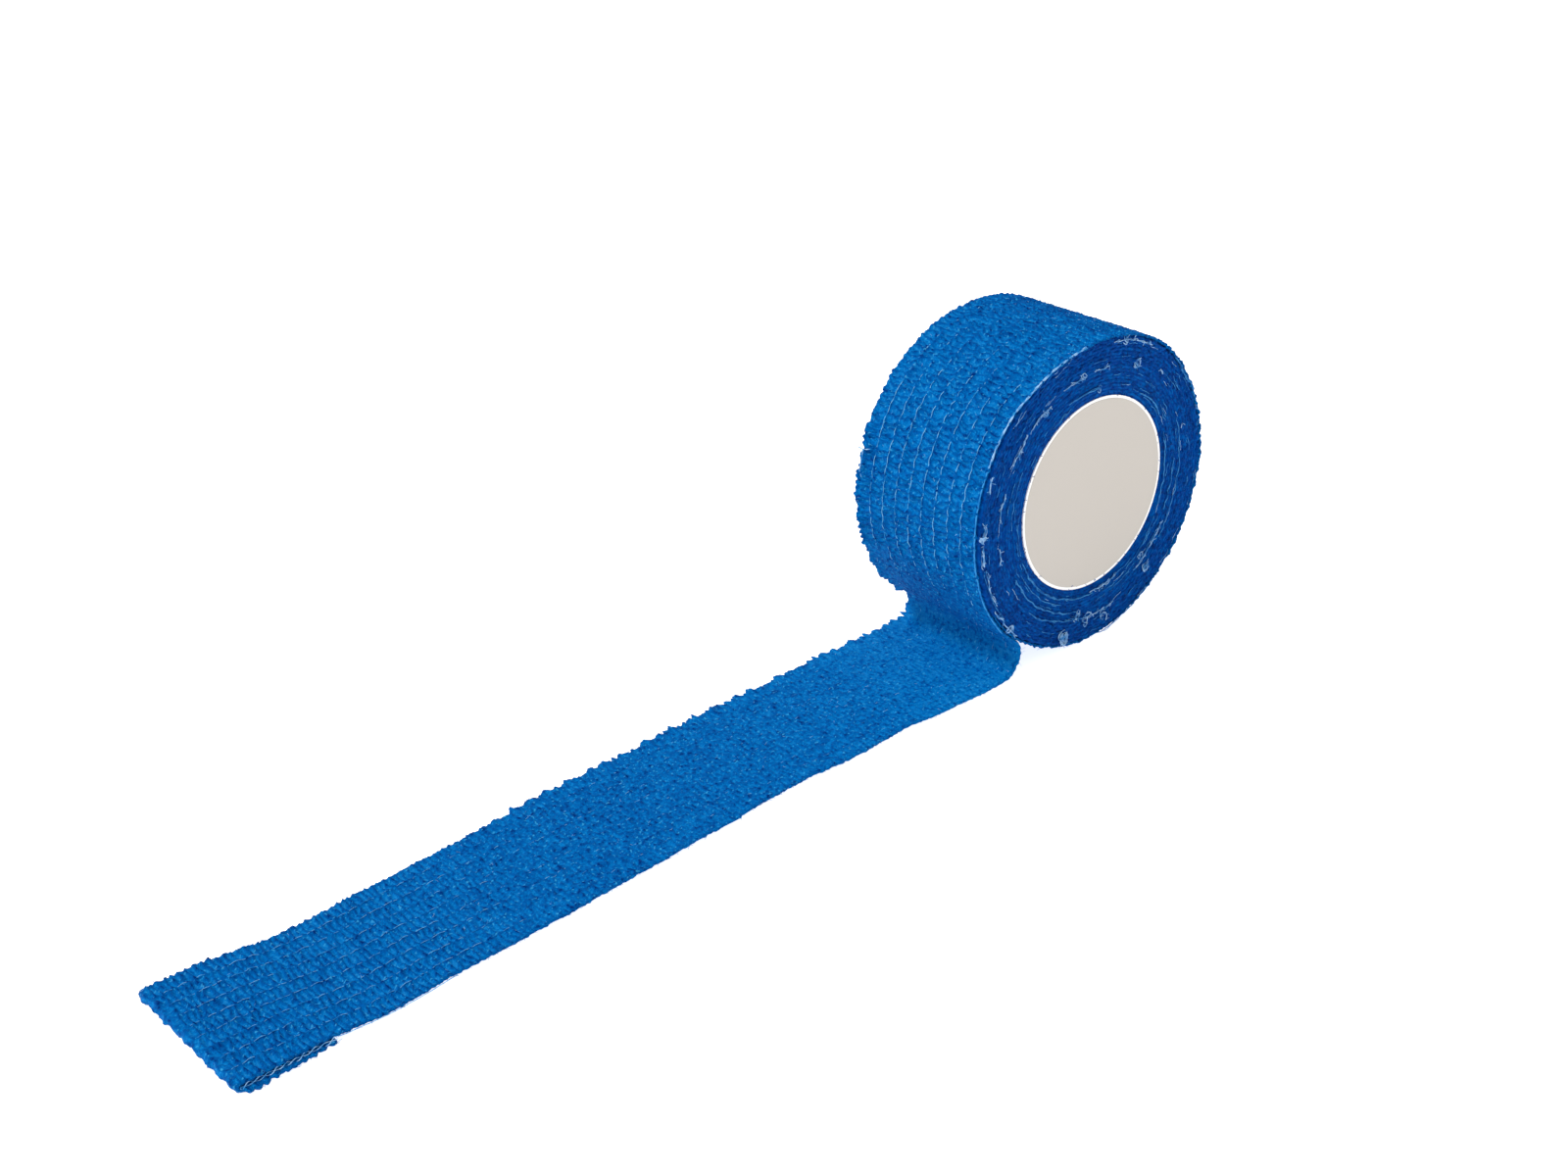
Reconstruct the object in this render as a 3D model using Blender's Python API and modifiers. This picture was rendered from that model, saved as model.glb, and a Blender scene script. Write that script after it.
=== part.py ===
"""A narrow cohesive bandage, wound on a capped core, with its free end pulled out along the table.

Frame: metres, +Z up. The roll's axis runs along Y, the capped face looks towards -Y, and the free end
lies towards -X. The origin is the middle of the roll's flat spot, on the surface it rests on.
"""

from math import cos, exp, pi, radians, sin, sqrt

import bmesh
import bpy

MM = 0.001
GAP = 0.3 * MM  # between neighbouring solids

# The wound roll
CLOTH_WIDTH = 25.0 * MM
ROLL_RADIUS = 26.1 * MM  # at the edge of the outermost lap
LAP_THICKNESS = 0.6 * MM
FLAT_SPOT_DEPTH = 0.15 * MM
LAP_EDGE = 222  # degrees, from +X towards +Z: where the outermost lap's solid ends
OUTLINE_STEP = 2  # degrees
# Soft lumps of the outer turns
LUMPS = (
    # angle, height in mm, spread in degrees
    (128, 0.10, 22),
    (62, 0.16, 20),
    (28, -0.18, 16),
    (-3, 0.22, 7),
    (-30, 0.16, 12),
    (-60, -0.20, 14),
    (-118, -0.18, 12),
)

# The core
CORE_RADIUS = 15.9 * MM
CORE_WALL = 0.6 * MM
CORE_SHIFT = 0.4 * MM  # the core sits a little off the roll's own centre, towards +X
CAP_THICKNESS = 1.0 * MM
CORE_STEPS = 72

# The loose end
SHEET_THICKNESS = 1.0 * MM
PEEL_ANGLE = 229  # degrees: where the cloth leaves the roll
FREE_END_X = -151.0 * MM  # outside of the folded-back end
FOLD_SLANT = 0.04  # the fold's far corner reaches this share of the width further out
FLAP_LENGTH = 12.5 * MM
RISE_LENGTH = 3.0 * MM  # over which the cloth climbs onto its folded-back flap
STATION_STEP = 2.4 * MM
ROWS_ACROSS = 6
# The uneven edges of the cloth where it lies, and where it comes off the roll
EDGES = (
    # distance from the roll's middle, near edge, far edge, all in mm
    (-152, -12.9, 11.3),
    (-144, -12.9, 11.2),
    (-136, -12.8, 10.8),
    (-128, -13.1, 10.5),
    (-120, -12.7, 11.0),
    (-108, -12.8, 11.4),
    (-98, -12.5, 11.7),
    (-88, -12.3, 12.2),
    (-77, -12.0, 12.3),
    (-67, -11.3, 12.9),
    (-59, -11.2, 13.0),
    (-51, -11.9, 12.7),
    (-41, -11.6, 12.8),
    (-31, -12.5, 12.7),
    (-22, -13.0, 12.6),
    (-15, -12.2, 12.5),
)

# Colours
BLUE = (0.0, 0.14, 0.50)
DEEP_BLUE = (0.0, 0.075, 0.37)
WHITE = (0.88, 0.88, 0.88)
PALE_GREY = (0.65, 0.60, 0.55)


def clear_scene():
    for obj in list(bpy.data.objects):
        bpy.data.objects.remove(obj, do_unlink=True)


def make_collection(name):
    collection = bpy.data.collections.new(name)
    bpy.context.scene.collection.children.link(collection)
    return collection


def make_material(name, color, roughness):
    material = bpy.data.materials.new(name)
    material.use_nodes = True
    shader = material.node_tree.nodes["Principled BSDF"]
    shader.inputs["Base Color"].default_value = (*color, 1)
    shader.inputs["Roughness"].default_value = roughness
    shader.inputs["Metallic"].default_value = 0
    return material


def add_object(name, data, material, collection):
    obj = bpy.data.objects.new(name, data)
    data.materials.append(material)
    collection.objects.link(obj)
    return obj


def spiral_radius(angle):
    """The outer radius of the winding, which grows by one lap over the turn that ends at LAP_EDGE."""
    return ROLL_RADIUS - LAP_THICKNESS * (LAP_EDGE - angle) / 360


def outer_radius(angle):
    """The spiral with its soft lumps."""
    lumps = sum(
        height * MM * exp(-(((angle - middle) / spread) ** 2)) for middle, height, spread in LUMPS
    )
    return spiral_radius(angle) + lumps


ROLL_CENTRE_Z = spiral_radius(-90) - FLAT_SPOT_DEPTH


def roll_point(radius, angle):
    """(x, z) at this radius and angle about the roll's axis."""
    return radius * cos(radians(angle)), ROLL_CENTRE_Z + radius * sin(radians(angle))


def roll_outline():
    """(x, z) points once round the winding: it ends in the step of the lap's edge and is flat on the table."""
    angles = range(LAP_EDGE - 360, LAP_EDGE + 1, OUTLINE_STEP)
    points = [roll_point(outer_radius(angle), angle) for angle in angles]
    return [(x, max(z, 0.0)) for x, z in points]


def circle_points(radius, steps, middle_x, middle_y):
    turns = [2 * pi * i / steps for i in range(steps)]
    return [(middle_x + radius * cos(a), middle_y + radius * sin(a)) for a in turns]


def flat_curve(name, outlines, depth):
    """A filled 2D curve of these closed outlines, extruded by depth about its own plane."""
    curve = bpy.data.curves.new(name, "CURVE")
    curve.dimensions = "2D"
    curve.fill_mode = "BOTH"
    curve.extrude = depth / 2
    for outline in outlines:
        spline = curve.splines.new("POLY")
        spline.points.add(len(outline) - 1)
        for point, (x, y) in zip(spline.points, outline):
            point.co = (x, y, 0, 1)
        spline.use_cyclic_u = True
    return curve


def make_wound_roll(collection):
    """The turns of cloth as one ring, standing on its flat spot, with the hole that the core fills."""
    hole = circle_points(CORE_RADIUS + GAP, CORE_STEPS, CORE_SHIFT, ROLL_CENTRE_Z)
    curve = flat_curve("wound_roll", [roll_outline(), hole], CLOTH_WIDTH)
    roll = add_object("wound_roll", curve, make_material("wound_cloth", DEEP_BLUE, 0.9), collection)
    roll.rotation_euler = (pi / 2, 0, 0)  # the outline stands up, and the width runs along Y
    return roll


def make_core_tube(collection):
    """A thin-walled tube as wide as the cloth: a rectangle turned about the core's axis."""
    profile = bmesh.new()
    half = CLOTH_WIDTH / 2
    corners = [
        (CORE_RADIUS, half),
        (CORE_RADIUS, -half),
        (CORE_RADIUS - CORE_WALL, -half),
        (CORE_RADIUS - CORE_WALL, half),
    ]
    verts = [profile.verts.new((x, 0, z)) for x, z in corners]
    for i, vert in enumerate(verts):
        profile.edges.new((vert, verts[(i + 1) % len(verts)]))
    mesh = bpy.data.meshes.new("core_tube")
    profile.to_mesh(mesh)
    profile.free()
    tube = add_object("core_tube", mesh, make_material("core_white", WHITE, 0.5), collection)
    screw = tube.modifiers.new("turn", "SCREW")
    screw.axis = "Z"
    screw.angle = 2 * pi
    screw.steps = screw.render_steps = CORE_STEPS
    screw.use_merge_vertices = True
    screw.merge_threshold = 0.01 * MM
    tube.location = (CORE_SHIFT, 0, ROLL_CENTRE_Z)
    tube.rotation_euler = (pi / 2, 0, 0)
    return tube


def make_core_cap(collection):
    """The plain disc that closes the tube, flush with the near face."""
    mesh = bpy.data.meshes.new("core_cap")
    disc = bmesh.new()
    radius = CORE_RADIUS - CORE_WALL - GAP
    bmesh.ops.create_cone(
        disc,
        cap_ends=True,
        segments=CORE_STEPS,
        radius1=radius,
        radius2=radius,
        depth=CAP_THICKNESS,
    )
    disc.to_mesh(mesh)
    disc.free()
    cap = add_object("core_cap", mesh, make_material("core_grey", PALE_GREY, 0.55), collection)
    cap.location = (CORE_SHIFT, -(CLOTH_WIDTH - CAP_THICKNESS) / 2, ROLL_CENTRE_Z)
    cap.rotation_euler = (pi / 2, 0, 0)
    return cap


def arc_points(centre, radius, start, end, steps):
    """(x, z) points along an arc about centre, from the angle start to end in degrees."""
    angles = [start + (end - start) * i / steps for i in range(steps + 1)]
    return [
        (centre[0] + radius * cos(radians(a)), centre[1] + radius * sin(radians(a))) for a in angles
    ]


def end_profile():
    """(x, z) points along the middle of the loose sheet's thickness, from the roll to the end of the flap.

    It follows the roll to the peel angle, turns back under itself in the bend, lies on the table,
    climbs onto the flap, folds under at the free end, and runs back as the flap.
    """
    half = SHEET_THICKNESS / 2
    lying_z = half
    on_roll = ROLL_RADIUS - LAP_THICKNESS + GAP + half
    start = LAP_EDGE + 1
    points = arc_points((0, ROLL_CENTRE_Z), on_roll, start, PEEL_ANGLE, 3)

    # The bend touches the roll's own arc at the peel point and the table's level below it.
    peel_x, peel_z = points[-1]
    outward_x, outward_z = cos(radians(PEEL_ANGLE)), sin(radians(PEEL_ANGLE))
    bend = (peel_z - lying_z) / (1 - outward_z)
    centre = (peel_x + bend * outward_x, peel_z + bend * outward_z)
    points += arc_points(centre, bend, PEEL_ANGLE - 180, -90, 14)[1:]

    fold_radius = half + GAP / 2
    fold_x = FREE_END_X + half + fold_radius
    flap_end = fold_x + FLAP_LENGTH
    raised_z = lying_z + 2 * fold_radius
    steps = round((points[-1][0] - flap_end - RISE_LENGTH) / STATION_STEP)
    start_x = points[-1][0]
    run = start_x - (flap_end + RISE_LENGTH)
    points += [(start_x - run * i / steps, lying_z) for i in range(1, steps + 1)]
    for i in range(1, 7):
        share = i / 6
        ease = share * share * (3 - 2 * share)
        points.append((flap_end + RISE_LENGTH * (1 - share), lying_z + (raised_z - lying_z) * ease))
    points += [(flap_end - FLAP_LENGTH * i / 5, raised_z) for i in range(1, 6)]
    points += arc_points((fold_x, lying_z + fold_radius), fold_radius, 90, 270, 8)[1:]
    points += [(fold_x + FLAP_LENGTH * i / 5, lying_z) for i in range(1, 6)]
    return points


def edges_at(x):
    """(near, far) y of the cloth's edges at this x, read smoothly from EDGES."""
    x = min(max(x / MM, EDGES[0][0]), EDGES[-1][0])
    for (x0, near0, far0), (x1, near1, far1) in zip(EDGES, EDGES[1:]):
        if x <= x1:
            share = (x - x0) / (x1 - x0)
            ease = share * share * (3 - 2 * share)
            return (near0 + (near1 - near0) * ease) * MM, (far0 + (far1 - far0) * ease) * MM
    return near1 * MM, far1 * MM


def make_loose_end(collection):
    """The free end as one sheet: a grid laid along the profile, then given its thickness."""
    profile = end_profile()
    grid = bmesh.new()
    bmesh.ops.create_grid(grid, x_segments=len(profile) - 1, y_segments=ROWS_ACROSS, size=0.5)
    for vert in grid.verts:
        station = round((vert.co.x + 0.5) * (len(profile) - 1))
        across = vert.co.y + 0.5
        x, z = profile[station]
        near, far = edges_at(x)
        slant = FOLD_SLANT * CLOTH_WIDTH * across * min(1.0, max(0.0, (x / MM + 60) / -90))
        vert.co = (x - slant, near + (far - near) * across, z)
    mesh = bpy.data.meshes.new("loose_end")
    grid.to_mesh(mesh)
    grid.free()
    mesh.shade_smooth()
    sheet = add_object("loose_end", mesh, make_material("loose_cloth", BLUE, 0.85), collection)
    solidify = sheet.modifiers.new("thickness", "SOLIDIFY")
    solidify.thickness = SHEET_THICKNESS
    solidify.offset = 0
    return sheet


def main():
    clear_scene()
    collection = make_collection("cohesive_bandage_roll")
    make_wound_roll(collection)
    make_loose_end(collection)
    make_core_tube(collection)
    make_core_cap(collection)


main()
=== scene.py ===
# %% [markdown]
# # A cohesive bandage, wound on its core with the free end pulled out
#
# The real thing is a long strip of thin non-woven cloth with nine rubbery threads laid along it.
# The threads were stretched while the cloth was bonded to them, so the relaxed cloth puckers
# between the threads into short ridges, about one a millimetre. The strip is wound on a white
# paper tube that a grey disc closes, and its last fifteen centimetres lie on the table.
#
# This file builds those looks around the fixed solids of the imported part. First the frame is
# loaded. Nothing made here may change the object's size.

# %% Load the frame
from math import cos, pi, radians, sin

import bpy
import numpy as np
from mathutils import Matrix, Vector


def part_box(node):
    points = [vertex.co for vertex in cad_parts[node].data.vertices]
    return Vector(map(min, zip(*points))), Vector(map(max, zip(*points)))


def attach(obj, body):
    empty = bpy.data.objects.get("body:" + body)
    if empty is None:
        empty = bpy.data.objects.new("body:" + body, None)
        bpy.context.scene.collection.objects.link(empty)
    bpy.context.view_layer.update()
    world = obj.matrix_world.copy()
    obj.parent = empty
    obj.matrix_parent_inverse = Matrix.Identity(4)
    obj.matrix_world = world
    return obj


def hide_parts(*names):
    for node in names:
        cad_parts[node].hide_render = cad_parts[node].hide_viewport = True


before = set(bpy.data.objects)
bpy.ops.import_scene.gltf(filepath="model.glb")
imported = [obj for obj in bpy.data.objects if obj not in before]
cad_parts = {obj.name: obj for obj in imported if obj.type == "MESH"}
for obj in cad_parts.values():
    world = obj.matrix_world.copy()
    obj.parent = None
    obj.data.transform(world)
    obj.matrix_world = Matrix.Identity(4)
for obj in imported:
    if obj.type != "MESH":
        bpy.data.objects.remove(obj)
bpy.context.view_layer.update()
MM = 0.001
print("solids:", ", ".join(sorted(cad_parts)))

# %% [markdown]
# ## Sizes that come from the solids
#
# The tube's box gives the middle of the winding, and the roll's box gives the cloth's width.
# Everything below is in millimetres until a mesh is made, which keeps the numbers readable.

# %% Middle, width and radii
tube_low, tube_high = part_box("core_tube")
roll_low, roll_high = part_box("wound_roll")
CORE_X = (tube_low.x + tube_high.x) / 2 / MM
ROLL_Z = (tube_low.z + tube_high.z) / 2 / MM
CORE_RADIUS = (tube_high.z - tube_low.z) / 2 / MM
NEAR_Y = roll_low.y / MM
CLOTH_WIDTH = roll_high.y / MM - NEAR_Y
ROLL_RADIUS = 26.1
LAP_PITCH = 0.6
LAP_EDGE = 222  # degrees, where the outermost lap's solid ends
PEEL_ANGLE = 229  # degrees, where the cloth leaves the roll
TABLE_GAP = 0.02  # the least height of the cloth and its fluff above the table
print(f"cloth {CLOTH_WIDTH:.1f} mm wide, core radius {CORE_RADIUS:.1f}, axis {ROLL_Z:.2f} up")

# %% [markdown]
# ## The camera
#
# It looks along the loose end from its near side, a little under a third of a right angle up,
# with a lens of ordinary length. The turn about its own axis is small.

# %% Camera
CAMERA_AZIMUTH = radians(-38.85)
CAMERA_ELEVATION = radians(28.44)
CAMERA_TURN = radians(-3.563)
CAMERA_PLACE = (-0.2092, -0.1946, 0.1602)


def towards(azimuth, elevation):
    """The way to something seen at this azimuth (0 is -Y, 90 degrees is +X) and elevation."""
    flat = cos(elevation)
    return Vector((sin(azimuth) * flat, -cos(azimuth) * flat, sin(elevation)))


def new_object(name, data):
    obj = bpy.data.objects.new(name, data)
    bpy.context.scene.collection.objects.link(obj)
    return obj


camera_data = bpy.data.cameras.new("camera")
camera_data.lens = 44.87
camera_data.sensor_width = 36
camera_data.clip_start = 0.01
camera = new_object("camera", camera_data)
bpy.context.scene.camera = camera
back = towards(CAMERA_AZIMUTH, CAMERA_ELEVATION)
right = Vector((0, 0, 1)).cross(back).normalized()
up = back.cross(right)
turned_right = cos(CAMERA_TURN) * right + sin(CAMERA_TURN) * up
turned_up = cos(CAMERA_TURN) * up - sin(CAMERA_TURN) * right
axes = Matrix((turned_right, turned_up, back)).transposed()
camera.matrix_world = Matrix.Translation(CAMERA_PLACE) @ axes.to_4x4()
print("camera at", tuple(round(c, 3) for c in camera.location))

# %% [markdown]
# ## Writing node trees as formulas
#
# Both Geometry Nodes and materials are graphs of small steps. A Wire wraps one output of a node,
# and adding or multiplying wires adds the Math node that does it, so the code below reads like
# the formula that the graph computes. The bench holds the tree that is being built.

# %% Wires and steps
class Bench:
    """Every new step goes into this tree."""

    tree = None


def fill(inputs, values):
    """Gives each named or numbered socket its value, or links a wire to it."""
    for name, value in dict(values).items():
        if isinstance(value, Wire):
            Bench.tree.links.new(value.socket, inputs[name])
        else:
            inputs[name].default_value = value


def step(kind, values=(), out=0, **settings):
    """Adds a node, sets its options, fills its sockets, and returns one output as a wire."""
    made = Bench.tree.nodes.new(kind)
    for name, value in settings.items():
        setattr(made, name, value)
    fill(made.inputs, values)
    return Wire(made.outputs[out])


def geo(kind, values=(), out=0, **settings):
    return step("GeometryNode" + kind, values, out, **settings)


def maths(operation, *values):
    return step("ShaderNodeMath", enumerate(values), operation=operation)


class Wire:
    """One output of a node, with the arithmetic that makes new Math nodes."""

    def __init__(self, socket):
        self.socket = socket

    def __add__(self, other):
        return maths("ADD", self, other)

    def __sub__(self, other):
        return maths("SUBTRACT", self, other)

    def __rsub__(self, other):
        return maths("SUBTRACT", other, self)

    def __mul__(self, other):
        return maths("MULTIPLY", self, other)

    def __truediv__(self, other):
        return maths("DIVIDE", self, other)

    def __pow__(self, other):
        return maths("POWER", self, other)

    def __abs__(self):
        return maths("ABSOLUTE", self)

    def between(self, low, high):
        """0 at low, 1 at high, smooth in between."""
        return step("ShaderNodeMapRange", {"Value": self, "From Min": low, "From Max": high},
                    out="Result", interpolation_type="SMOOTHSTEP")


def vector(x=0.0, y=0.0, z=0.0):
    return step("ShaderNodeCombineXYZ", {"X": x, "Y": y, "Z": z})


def parts(place):
    """The three numbers of a vector."""
    split = step("ShaderNodeSeparateXYZ", {"Vector": place}).socket.node
    return [Wire(socket) for socket in split.outputs]


def vector_maths(operation, first, second):
    """Scales a vector by a number, or works on two vectors."""
    other = "Scale" if operation == "SCALE" else 1
    return step("ShaderNodeVectorMath", {0: first, other: second}, operation=operation)


def noise(place, scale=1.0, detail=2.0):
    """Smooth noise from 0 to 1, about a half on average."""
    return step("ShaderNodeTexNoise", {"Vector": place, "Scale": scale, "Detail": detail})


def cloud(x, y, z=0.0, detail=1.0):
    """The same noise, at a place given by its parts."""
    return noise(vector(x, y, z), 1.0, detail)


# %% Whole geometry trees
def new_tree(name, sizes, counts=()):
    """A geometry tree with one named input for each size and count, and one for its material."""
    Bench.tree = bpy.data.node_groups.new(name, "GeometryNodeTree")
    face = Bench.tree.interface
    face.new_socket(name="Geometry", in_out="OUTPUT", socket_type="NodeSocketGeometry")
    kinds = {"Geometry": "Geometry", **dict.fromkeys(sizes, "Float")}
    kinds.update({**dict.fromkeys(counts, "Int"), "Material": "Material"})
    for label, kind in kinds.items():
        face.new_socket(name=label, in_out="INPUT", socket_type="NodeSocket" + kind)
    source = Bench.tree.nodes.new("NodeGroupInput")
    return {socket.name: Wire(socket) for socket in source.outputs if socket.name}


def end_tree(geometry, put):
    """Every tree ends in real geometry with its material, and gives it to the output."""
    real = geo("RealizeInstances", {"Geometry": geometry})
    smooth = geo("SetShadeSmooth", {"Geometry": real})
    done = geo("SetMaterial", {"Geometry": smooth, "Material": put["Material"]})
    fill(Bench.tree.nodes.new("NodeGroupOutput").inputs, {0: done})
    return Bench.tree


def named(name, kind="FLOAT"):
    """Numbers that are stored on the points."""
    return geo("InputNamedAttribute", {"Name": name}, data_type=kind)


def keep_named(geometry, name, value):
    return geo("StoreNamedAttribute", {"Geometry": geometry, "Name": name, "Value": value},
               data_type="FLOAT")


def above_table(geometry, least):
    """Lifts the points that have sunk below this height."""
    x, y, z = parts(geo("InputPosition"))
    lifted = vector(x, y, maths("MAXIMUM", z, least))
    return geo("SetPosition", {"Geometry": geometry, "Position": lifted})


def sweep(curve, outline):
    return geo("CurveToMesh", {"Curve": curve, "Profile Curve": outline, "Fill Caps": True})


def run_tree(obj, tree, values):
    """Puts the tree on the object with these inputs, and keeps the result as its plain mesh."""
    modifier = obj.modifiers.new(tree.name, "NODES")
    modifier.node_group = tree
    keys = {i.name: i.identifier for i in tree.interface.items_tree if i.in_out == "INPUT"}
    for label, value in values.items():
        modifier[keys[label]] = value
    graph = bpy.context.evaluated_depsgraph_get()
    made = bpy.data.meshes.new_from_object(
        obj.evaluated_get(graph), preserve_all_data_layers=True, depsgraph=graph
    )
    obj.modifiers.remove(modifier)
    obj.data = made
    made.name = obj.name
    made.calc_loop_triangles()
    print(f"{obj.name}: {len(made.loop_triangles)} triangles")
    return obj


# %% [markdown]
# ## Finishes
#
# The cloth is a dyed non-woven: short fibres lying in all directions, matt, with a little sheen.
# The ridges catch the light and the pits between them keep it out, and the colour paints that in:
# it follows "crest", a number that the crepe tree stores on each point, with painted shade in the
# pits and a painted highlight on the crests. The fibres lie in the cloth's own coordinates, "cloth"
# (along, across), so that they bend with it. Where the crinkle has given way to felt ("felted"),
# the painted crease shade fades and the painted shade in the pits between the tufts deepens. The
# edges of the turns take a darker copy of the blues, painted shade for the roll's near side.

# %% Material helpers
def new_material(name):
    material = bpy.data.materials.new(name)
    material.use_nodes = True
    Bench.tree = material.node_tree
    return material, Bench.tree.nodes["Principled BSDF"].inputs


def blend_colours(share, low, high):
    """A mix of two colours, each a wire or a plain colour."""
    mixer = step("ShaderNodeMix", {"Factor": share}, data_type="RGBA").socket.node
    sockets = [s for s in mixer.inputs if s.type == "RGBA"]
    fill(sockets, enumerate(c if isinstance(c, Wire) else (*c, 1) for c in (low, high)))
    return Wire(next(s for s in mixer.outputs if s.type == "RGBA"))


def bump(height, strength, depth):
    return step("ShaderNodeBump", {"Strength": strength, "Distance": depth * MM, "Height": height})


def attribute(name, out="Fac"):
    return step("ShaderNodeAttribute", out=out, attribute_name=name)


def fibre_streaks(place):
    """Thin bright lines of random fibres, lying at three angles in the cloth."""
    streaks = 0.0
    for turn, long, thin in ((33, 0.9, 0.16), (-41, 0.8, 0.15), (84, 0.7, 0.17)):
        laid = step("ShaderNodeMapping", {
            "Vector": place,
            "Rotation": (0, 0, radians(turn)),
            "Scale": (1 / long, 1 / thin, 1),
        })
        fibres = abs(noise(laid, detail=1.0) - 0.5).between(0.09, 0.0)
        streaks = maths("MAXIMUM", fibres, streaks)
    return streaks


def cloth_material(name, colours, fleck_share, puckered, mottle):
    """The blue non-woven, with painted shade in the pits and a painted highlight on the crests."""
    painted_pit_colour, body, painted_crest_colour, fleck_and_glint = colours
    material, shader = new_material(name)
    place = attribute("cloth", "Vector")
    streaks = fibre_streaks(place)
    patches = noise(place, 0.35) - 0.5
    grain = noise(place, 3.0) - 0.5
    felt = noise(place, 1.2, 1.0) - 0.5
    level = attribute("crest") + patches * 0.5 + grain * 0.6 + felt * mottle
    level = level + (streaks - 0.3) * 0.35
    height = streaks * 0.5 + grain * 2.2
    if puckered:
        # Painted light on the puckers: painted shade in the creases and the pits, a painted highlight
        # on the ridges' shoulders, broken into patches, and in thin rings round the kernels
        felted = attribute("felted")
        fold = abs(maths("SINE", attribute("phase") * pi + grain * 0.9))
        shoulder_highlight = fold.between(0.62, 0.8) * fold.between(1.0, 0.85)
        patchy_mask = noise(place, 1.1, 0.0).between(0.42, 0.60)
        kernels = noise(place, 1.45, 1.0)
        pit_shade = kernels.between(0.44, 0.32)
        rings = abs(kernels - 0.57).between(0.04, 0.0)
        crease_shade = fold.between(0.45, 0.0) * 0.24 - shoulder_highlight * patchy_mask * 0.42
        level = level - crease_shade * (1.0 - felted * 0.7)
        level = level - pit_shade * (felted * 0.15 + 0.35) + rings * 0.45
        height = height + kernels * 3.0
    # The level runs from painted shade in the pits to a painted highlight on the crests
    shade_blend = blend_colours(level.between(-0.2, 0.55), painted_pit_colour, body)
    colour = blend_colours(level.between(0.55, 1.2), shade_blend, painted_crest_colour)
    flecks = noise(place, 2.2, 0.0).between(0.71, 0.78)
    # Pale flecks of fibre, and a painted glint on the highest crests
    pale = maths("MAXIMUM", flecks * fleck_share, level.between(1.0, 1.8) * 0.35)
    fill(shader, {
        "Base Color": blend_colours(pale, colour, fleck_and_glint),
        "Roughness": 0.92 - streaks * 0.12,
        "Specular IOR Level": 0.09,
        "Specular Tint": (0.05, 0.55, 1.0, 1),
        "Normal": bump(height, 0.6, 0.09),
    })
    return material


def thread_material(name, covered, bare, roughness):
    """A thread whose colour comes and goes along it, as the fibres over it do."""
    material, shader = new_material(name)
    place = step("ShaderNodeTexCoord", out="Object")
    patchy_mask = noise(place, 900.0).between(0.35, 0.62)
    fill(shader, {
        "Base Color": blend_colours(patchy_mask, covered, bare),
        "Roughness": roughness,
        "Specular IOR Level": 0.2,
    })
    return material


# %% The cloth, its threads and its fluff
# Dark to light: painted shade in the pits, the body colour, a painted highlight on the crests, and pale
# bits of thread
CREPE_BLUES = (
    (0.0, 0.023, 0.160),  # in the pits
    (0.0, 0.095, 0.363),
    (0.0, 0.172, 0.515),  # on the crests
    (0.04, 0.36, 0.69),  # bare bits of thread
)
# The edges of the turns: the cloth's blues darkened, painted shade for the roll's near side
SHADED_WINDING_BLUES = (
    (0.0, 0.018, 0.16),
    (0.0, 0.050, 0.28),
    (0.0, 0.092, 0.39),
    (0.0, 0.15, 0.46),
)
THREAD_FINISHES = (
    # name, colour under fibres, colour where bare, roughness
    ("elastic_thread", (0.005, 0.19, 0.54), (0.19, 0.48, 0.80), 0.6),
    ("face_blue", (0.0, 0.11, 0.39), (0.04, 0.25, 0.58), 0.7),
    ("lit_thread", (0.01, 0.25, 0.60), (0.22, 0.58, 0.86), 0.6),
    ("rim_blue", (0.0, 0.16, 0.50), (0.03, 0.28, 0.66), 0.7),
    ("bright_thread", (0.02, 0.24, 0.60), (0.30, 0.55, 0.84), 0.6),
    ("pale_thread", (0.04, 0.22, 0.55), (0.31, 0.53, 0.80), 0.7),
    ("blue_fluff", (0.0, 0.09, 0.34), (0.005, 0.17, 0.50), 0.9),
    # The fluff of the roll's near side is darkened, painted shade
    ("shaded_side_fluff", (0.0, 0.022, 0.17), (0.0, 0.078, 0.355), 0.9),
)
finish = {name: thread_material(name, *row) for name, *row in THREAD_FINISHES}
finish["crepe"] = cloth_material("blue_crepe", CREPE_BLUES, 0.7, True, 0.5)
# The winding's finish is darker, painted shade for the roll's near side
finish["winding"] = cloth_material("blue_winding_shaded", SHADED_WINDING_BLUES, 0.4, False, 2.2)
print("finishes:", ", ".join(finish))

# %% [markdown]
# ## How the winding sits
#
# Each turn lies on the one before, so they share one rule for their shape: the soft lumps of the
# outer turns fade towards the core, the core sits a little off the middle, and the outermost turns
# press flat where they meet the table. "settled" applies that rule to any radius and angle.

# %% Reading tables and lines
def hump(values, middle, spread, power=2):
    """1 at the middle, falling to nothing a few spreads away."""
    return np.exp(-(((values - middle) / spread) ** power))


def fade(values, start, length):
    """0 up to the start, rising evenly to 1 once it is this far past it."""
    return np.clip((values - start) / length, 0, 1)


def smooth_table(places, rows, column):
    """Reads one column of a table at these places, with smooth steps between its rows."""
    keys = np.array([row[0] for row in rows], float)
    values = np.array([row[column] for row in rows], float)
    at = np.clip(places, keys[0], keys[-1])
    low = np.clip(np.searchsorted(keys, at, "right") - 1, 0, len(keys) - 2)
    share = (at - keys[low]) / (keys[low + 1] - keys[low])
    ease = share * share * (3 - 2 * share)
    return values[low] + (values[low + 1] - values[low]) * ease


def size_of(rows):
    return np.linalg.norm(rows, axis=1)


def distance_along(points):
    """The length of a line of points up to each of them."""
    return np.concatenate([[0], np.cumsum(size_of(np.diff(points, axis=0)))])


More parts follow.
